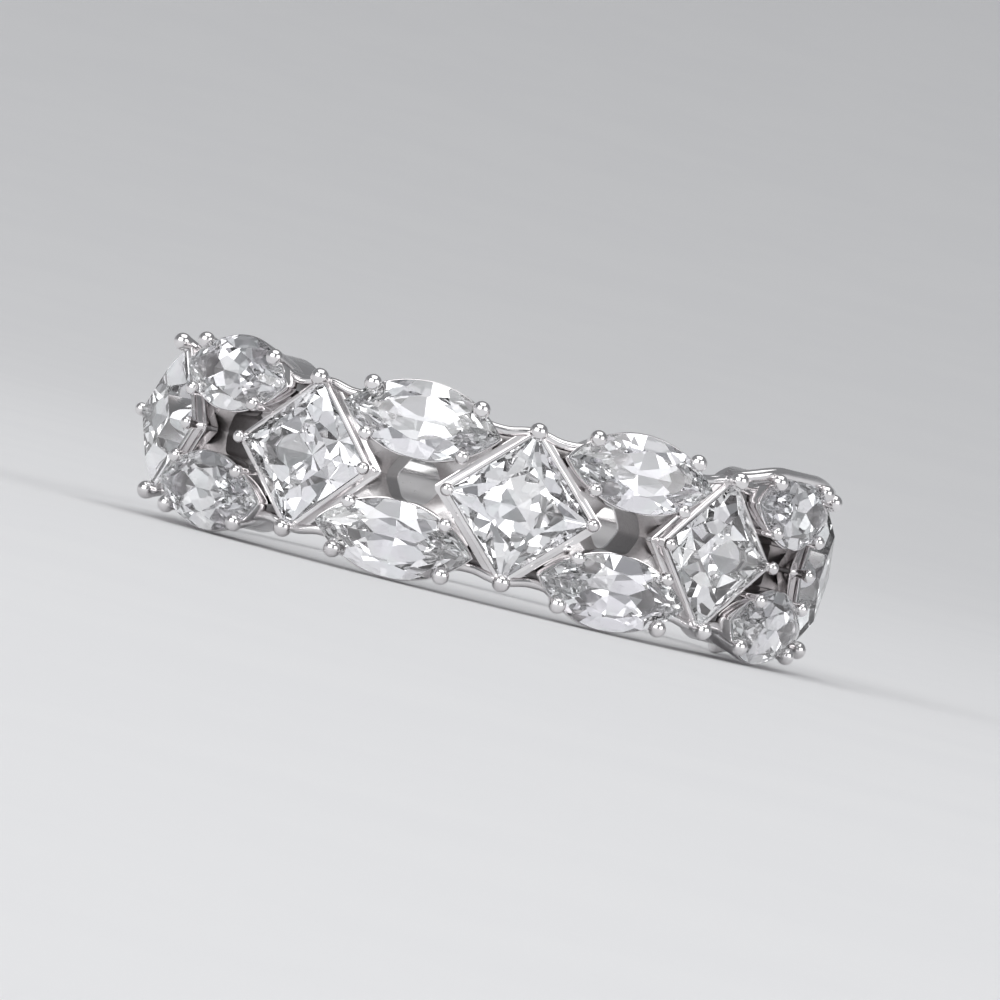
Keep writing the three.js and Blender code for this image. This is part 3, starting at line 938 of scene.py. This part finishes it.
for angle in PAIR_ANGLES:
    bm = bmesh.new()
    bmesh.ops.create_cone(bm, cap_ends=True, segments=4, radius1=0, radius2=1, depth=SLOPE_DEPTH)
    bmesh.ops.scale(bm, vec=(SLOPE_HALF_LENGTH, SLOPE_HALF_HEIGHT, 1), verts=bm.verts)
    bmesh.ops.translate(bm, vec=(0, 0, PLATE_TOP + SLOPE_LIFT - SLOPE_DEPTH / 2), verts=bm.verts)
    removed.append(to_object(bm, "slopes", seat(angle)))
print("slopes:", 4 * len(PAIR_ANGLES))

# %% Fork gap, pin hole and catch socket, and everything cut
GAP_RADIUS, GAP_HALF_HEIGHT = 0.68, 0.4
PIN_HOLE = 0.28
THROUGH = 2.0
SOCKET_SIZE = (0.72, 1.0, 0.82)
SOCKET_SHIFT = Vector((0, -0.36, 0))

removed.append(drum(hinge_point, GAP_RADIUS, GAP_HALF_HEIGHT))
removed.append(drum(hinge_point, PIN_HOLE, THROUGH))
removed.append(block(catch_point + SOCKET_SHIFT, SOCKET_SIZE))
boolean(setting, removed, "DIFFERENCE")

# %% [markdown]
# ## Finish of the cast metal
#
# The band is silver-coloured metal, cast and then polished with soft wheels. A wheel reaches the
# prongs and the walls and leaves them as bright as a mirror, with soft waves and a few hairlines.
# The inside is polished on a felt stick, which leaves fine lines round the ring. Nothing reaches
# the hollows between the stones, so they stay rough and grainy from the casting, and they are
# painted darker too: that is painted shade, standing for the shade in these recesses. Handling
# leaves faint dull clouds on the rest, and they keep the plain faces from looking like one flat colour.
#
# The finish could be painted by hand. It is a mask here, made from how far a point is from the
# axis and from mid height, because the hollows lie in one belt of the band.

# %% Lines and scratches of polishing
HAIRLINE_STRETCH, HAIRLINE_SLANT = (2.0, 45.0, 45.0), (0.5, 0.3, 0.7)
HAIRLINE_EDGE = (0.66, 0.74)
LINES_PER_MM, DRIFT_ROUND_RING = 26.0, 0.03


def hairlines(nodes, place):
    """A mask of fine straight scratches at a slant."""
    turned = nodes.node("ShaderNodeMapping", {"vector_type": "POINT"}, {
        "Vector": place, "Rotation": HAIRLINE_SLANT, "Scale": HAIRLINE_STRETCH,
    })
    return ramp(nodes, noise(nodes, turned, 1.0, 1.0), *HAIRLINE_EDGE)


def lines_round_ring(nodes, x, radius, z):
    """Noise that changes with distance from the axis and with height, and hardly round the ring."""
    across = nodes.node("ShaderNodeCombineXYZ", {}, [radius, x * DRIFT_ROUND_RING, z])
    return noise(nodes, across, LINES_PER_MM)


# %% Cast and polished metal
POLISHED, DULLED = (0.88, 0.865, 0.87, 1.0), (0.70, 0.68, 0.685, 1.0)
# The colour for the hollows is painted shade: a dark tone laid into the recesses between the stones.
HOLLOW_SHADE = (0.27, 0.25, 0.25, 1.0)
HOLLOW_OUTER, HOLLOW_INNER = (6.0, 6.5), (5.02, 5.1)
HOLLOW_HALF_WIDTH = (1.2, 1.4)
HOLLOW_ENDS_AT = (-0.9, -0.5)
GRAIN_PER_MM, WAVES_PER_MM, CLOUDS_PER_MM = 22.0, 1.4, 1.1
CLOUDS_EDGE = (0.42, 0.62)
CAST_RELIEF = 0.0075
METAL_SHARP_DEGREES = 35


def cast_metal():
    nodes = Nodes("setting_metal")
    place = millimetres_from(nodes, centre)
    x, y, z = split(nodes, place)
    radius = (x * x + y * y) ** 0.5
    height = (z * z) ** 0.5
    # A mask of the recesses between the stones: it paints shade into the colour and makes them rough and
    # grainy.
    belt = ramp(nodes, radius, *HOLLOW_OUTER, 1, 0) * ramp(nodes, radius, *HOLLOW_INNER)
    hollow = belt * ramp(nodes, height, *HOLLOW_HALF_WIDTH, 1, 0) * ramp(nodes, y, *HOLLOW_ENDS_AT, 1, 0)
    grain, waves = noise(nodes, place, GRAIN_PER_MM, 3.0), noise(nodes, place, WAVES_PER_MM)
    lines = lines_round_ring(nodes, x, radius, z) * ramp(nodes, radius, *HOLLOW_INNER, 1, 0)
    scratched = hairlines(nodes, place) * (1 - hollow)
    clouds = ramp(nodes, noise(nodes, place, CLOUDS_PER_MM, 4.0), *CLOUDS_EDGE)
    handled = clouds * 0.6 + 0.4 * scratched
    outside = blend(nodes, handled, POLISHED, DULLED)
    # Painted shade: the hollows are darkened in colour, broken up by the grain of the casting.
    colour = blend(nodes, hollow * (0.7 + 0.3 * grain), outside, HOLLOW_SHADE)
    relief = 0.6 * waves + grain * (0.04 + 0.3 * hollow) + 0.08 * lines - 0.03 * scratched
    rough = 0.05 + 0.06 * waves + 0.3 * hollow + 0.12 * lines + 0.1 * scratched
    return nodes.surface(
        Base_Color=colour, Metallic=1.0, Roughness=rough, Normal=bumps(nodes, relief, CAST_RELIEF),
    )


finish_mesh(setting, METAL_SHARP_DEGREES)
dress(setting, cast_metal(), "setting_band", "band")

# %% [markdown]
# ## The wire half
#
# The back half is round wire, bent to the ring. Its hinge end is pressed flat to an eye and
# drilled for the pin, and its other end is filed to a flat tongue that clicks into the catch. A
# curve with a round bevel would give the wire as well, but its ends would still have to be cut and
# joined. So a round section is swept here too, and then cut, joined and drilled in a smith's order.

# %% Round wire
WIRE_RADIUS, WIRE_SEGMENTS, WIRE_STEPS = 0.6, 56, 150
wire_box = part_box("wire_segment")
WIRE_RING = wire_box[1][1] / MM - centre.y - WIRE_RADIUS

section = round_section(WIRE_RADIUS, WIRE_SEGMENTS)
bm = sweep(section, WIRE_RING, HINGE_ANGLE, 360 - HINGE_ANGLE, WIRE_STEPS)
wire = to_object(bm, "wire_half", Matrix.Translation(centre))
print(f"wire: {2 * WIRE_RADIUS} mm thick, bent to a radius of {WIRE_RING:.3f} mm")

# %% Shoulders, eye, tongue and pin hole
SHOULDER_RADIUS, SHOULDER_HALF_HEIGHT = 0.72, 1.0
TONGUE_HALF_WIDTH, TONGUE_END, TONGUE_ROOT, TONGUE_RIM = 0.3, -0.55, 0.75, 0.1
FLAT_HALF_HEIGHT, FLAT_RIM = 0.35, 0.05
NECK_SHIFT, NECK_SIZE = Vector((-0.19, 0.425, 0)), (0.72, 0.85, 2 * FLAT_HALF_HEIGHT)
CATCH_SHIFT, CATCH_SIZE = Vector((0, -0.55, 0)), (2.4, 1.2, 2.4)

square_to_ring = Matrix.Rotation(math.radians(90 - HINGE_ANGLE), 3, "Z")
boolean(wire, [
    drum(hinge_point, SHOULDER_RADIUS, SHOULDER_HALF_HEIGHT),
    block(catch_point + square_to_ring @ CATCH_SHIFT, CATCH_SIZE, turn=square_to_ring),
], "DIFFERENCE")

tongue_middle = Vector((0, (TONGUE_END + TONGUE_ROOT) / 2, 0))
tongue_size = (2 * TONGUE_HALF_WIDTH, TONGUE_ROOT - TONGUE_END, 2 * FLAT_HALF_HEIGHT)
boolean(wire, [
    drum(hinge_point, WIRE_RADIUS, FLAT_HALF_HEIGHT, FLAT_RIM),
    block(hinge_point + NECK_SHIFT, NECK_SIZE, FLAT_RIM),
    block(catch_point + tongue_middle, tongue_size, TONGUE_RIM),
], "UNION")
boolean(wire, [drum(hinge_point, PIN_HOLE, THROUGH)], "DIFFERENCE")

# %% [markdown]
# ## Finish of the wire
#
# Wire is drawn through a die, which leaves fine lines along it, and then it is polished. The lines
# of a bent wire run round the ring, so they come from the same noise as those inside the band.
# They are a few hundredths of a millimetre apart and far shallower, and they draw the highlights
# out lengthwise. The colour is cloudy, a little darker where the polish has worn.

# %% Drawn steel
STEEL, WORN_STEEL = (0.64, 0.63, 0.63, 1.0), (0.56, 0.55, 0.55, 1.0)
WEAR_PER_MM, WEAR_EDGE = 0.9, (0.4, 0.65)
DRAWN_RELIEF = 0.0006


def drawn_steel():
    nodes = Nodes("wire_metal")
    place = millimetres_from(nodes, centre)
    x, y, z = split(nodes, place)
    radius = (x * x + y * y) ** 0.5
    lines = lines_round_ring(nodes, x, radius, z)
    wear = noise(nodes, place, WEAR_PER_MM, 3.0)
    scratched = hairlines(nodes, place)
    relief = lines + 0.6 * scratched
    return nodes.surface(
        Base_Color=blend(nodes, ramp(nodes, wear, *WEAR_EDGE), STEEL, WORN_STEEL), Metallic=1.0,
        Roughness=0.09 + 0.08 * wear + 0.06 * lines + 0.12 * scratched,
        Normal=bumps(nodes, relief, DRAWN_RELIEF),
    )


finish_mesh(wire, METAL_SHARP_DEGREES)
dress(wire, drawn_steel(), "wire_segment", "segment")

# %% [markdown]
# ## The hinge pin
#
# A short length of hard wire is pushed through the eyes and its ends are faced off, which leaves
# turned rings on them. It stays with the band. The rings are noise that changes only with the
# distance from the pin's own axis, so the pattern's zero is the hinge here.

# %% Pin
PIN_RADIUS, PIN_HALF_LENGTH, PIN_RIM = 0.25, 0.93, 0.04
PIN_GREY, PIN_DARK = (0.72, 0.71, 0.72, 1.0), (0.5, 0.49, 0.5, 1.0)
RINGS_PER_MM, RINGS_EDGE, RINGS_RELIEF = 30.0, (0.35, 0.7), 0.002


def turned_steel():
    nodes = Nodes("pin_metal")
    place = millimetres_from(nodes, hinge_point)
    x, y, z = split(nodes, place)
    from_axis = (x * x + y * y) ** 0.5
    across = nodes.node("ShaderNodeCombineXYZ", {}, [from_axis, 0.0, z])
    rings = noise(nodes, across, RINGS_PER_MM)
    return nodes.surface(
        Base_Color=blend(nodes, ramp(nodes, rings, *RINGS_EDGE), PIN_GREY, PIN_DARK), Metallic=1.0,
        Roughness=0.16 + 0.18 * rings, Normal=bumps(nodes, rings, RINGS_RELIEF),
    )


pin = drum(hinge_point, PIN_RADIUS, PIN_HALF_LENGTH, PIN_RIM)
pin.name = "rivet_pin"
finish_mesh(pin, METAL_SHARP_DEGREES)
dress(pin, turned_steel(), "hinge_pin", "band")

# %% [markdown]
# ## Floor
#
# The ring is shown on pale card. A flat plane would end in a hard horizon behind an object seen
# from so low, so the card curves up all round like a shallow dish, far outside the ring. Its
# profile is spun into the dish. Recalculated normals point out of a hollow, which is down into the
# table here, so the faces are reversed. The card has a faint mottle and the tooth of paper.

# %% Pale card
FLAT_RADIUS, BEND_RADIUS, BEND_DEGREES = 0.15, 1.5, 45
BEND_STEPS, ROUND_STEPS = 24, 96
MOTTLE_PER_MM, MOTTLE_EDGE = 0.12, (0.35, 0.65)
TOOTH_PER_MM, TOOTH_RELIEF = 5.0, 0.004
CARD, CARD_SHADE = (0.83, 0.83, 0.84, 1.0), (0.82, 0.82, 0.832, 1.0)


def card():
    nodes = Nodes("pale_card")
    place = millimetres_from(nodes, Vector((0, 0, 0)))
    mottle = ramp(nodes, noise(nodes, place, MOTTLE_PER_MM, 3.0), *MOTTLE_EDGE)
    tooth = noise(nodes, place, TOOTH_PER_MM, 4.0)
    return nodes.surface(
        Base_Color=blend(nodes, mottle, CARD, CARD_SHADE), Roughness=0.65 + 0.1 * tooth,
        Normal=bumps(nodes, tooth, TOOTH_RELIEF),
    )


bm = bmesh.new()
points = [bm.verts.new((0, 0, 0))]
for i in range(BEND_STEPS + 1):
    turn = math.radians(BEND_DEGREES * i / BEND_STEPS)
    out, up = FLAT_RADIUS + BEND_RADIUS * math.sin(turn), BEND_RADIUS * (1 - math.cos(turn))
    points.append(bm.verts.new((out, 0, up)))
line = [bm.edges.new(pair) for pair in zip(points, points[1:])]
bmesh.ops.spin(
    bm, geom=points + line, axis=(0, 0, 1), cent=(0, 0, 0), angle=math.tau,
    steps=ROUND_STEPS, use_merge=True,
)
bmesh.ops.remove_doubles(bm, verts=bm.verts, dist=TOUCH_DISTANCE)
bmesh.ops.recalc_face_normals(bm, faces=bm.faces)
bmesh.ops.reverse_faces(bm, faces=bm.faces)
for face in bm.faces:
    face.smooth = True
floor = to_object(bm, "floor", Matrix.Identity(4))
floor.data.materials.append(card())
print("floor:", len(floor.data.polygons), "faces,", [round(side, 2) for side in floor.dimensions], "m")
print("the middle of the floor faces up:", floor.data.polygons[0].normal.z > 0)

# %% [markdown]
# ## Light
#
# Clear stones and polished metal show nothing but their surroundings. Large soft lamps give them
# broad highlights, and the pale world fills the rest. The key lamp is on the left, a weaker one
# on the right keeps that end from going dark, and one overhead lights the stones through their
# crowns. The lamps are wide for their distance, so their edges are soft on the card.

# %% Lamps and world
SKY, SKY_STRENGTH = (0.95, 0.97, 1.0, 1.0), 0.27
middle = centre * MM


def softbox(name, place, size, watts):
    lamp = bpy.data.lights.new(name, "AREA")
    lamp.shape = "RECTANGLE"
    lamp.size, lamp.size_y = size
    lamp.energy = watts
    stand = bpy.data.objects.new(name, lamp)
    stand.location = place
    stand.rotation_euler = (middle - Vector(place)).to_track_quat("-Z", "Y").to_euler()
    bpy.context.scene.collection.objects.link(stand)
    print(f"{name}: {watts} W, {(middle - Vector(place)).length:.2f} m away")


softbox("key", (-0.40, -0.45, 0.28), (0.70, 0.50), 2.3)
softbox("fill", (0.42, -0.42, 0.22), (0.55, 0.40), 1.3)
softbox("overhead", (0.0, -0.05, 0.60), (0.60, 0.60), 1.7)

world = bpy.data.worlds.new("studio")
world.use_nodes = True
sky = world.node_tree.nodes["Background"]
sky.inputs["Color"].default_value = SKY
sky.inputs["Strength"].default_value = SKY_STRENGTH
bpy.context.scene.world = world

# %% [markdown]
# ## Camera
#
# The camera looks at the middle of the jewelled half from almost the ring's own height and a few
# degrees to one side. It is rolled, so that the band runs down to the right as it does when
# the ring is worn. A long lens keeps the far end of the band nearly as large as the near one.
#
# Light bounces many times inside a cut stone, and each bounce that is cut short shows as a black
# patch. So the limits on bounces are raised.

# %% Camera
AZIMUTH, ELEVATION, ROLL = math.radians(-6.6), math.radians(0.8), math.radians(14)
DISTANCE, LENS, NEAR = 0.20, 380, 0.005
AIM_FORWARD = Vector((0, -3.2, 0)) * MM

lens = bpy.data.cameras.new("camera")
lens.lens = LENS
lens.clip_start = NEAR
camera = bpy.data.objects.new("camera", lens)
bpy.context.scene.collection.objects.link(camera)
towards = Vector((math.sin(AZIMUTH), -math.cos(AZIMUTH), 0)) * math.cos(ELEVATION)
towards.z = math.sin(ELEVATION)
camera.location = middle + AIM_FORWARD + towards * DISTANCE
aimed = (-towards).to_track_quat("-Z", "Y").to_matrix() @ Matrix.Rotation(ROLL, 3, "Z")
camera.rotation_euler = aimed.to_euler()
bpy.context.scene.camera = camera
print("camera at", [round(value, 3) for value in camera.location], "m")

# %% Bounces and colour
bpy.context.scene.cycles.max_bounces = 24
bpy.context.scene.cycles.glossy_bounces = 16
bpy.context.scene.cycles.transmission_bounces = 16
bpy.context.scene.view_settings.view_transform = "Standard"
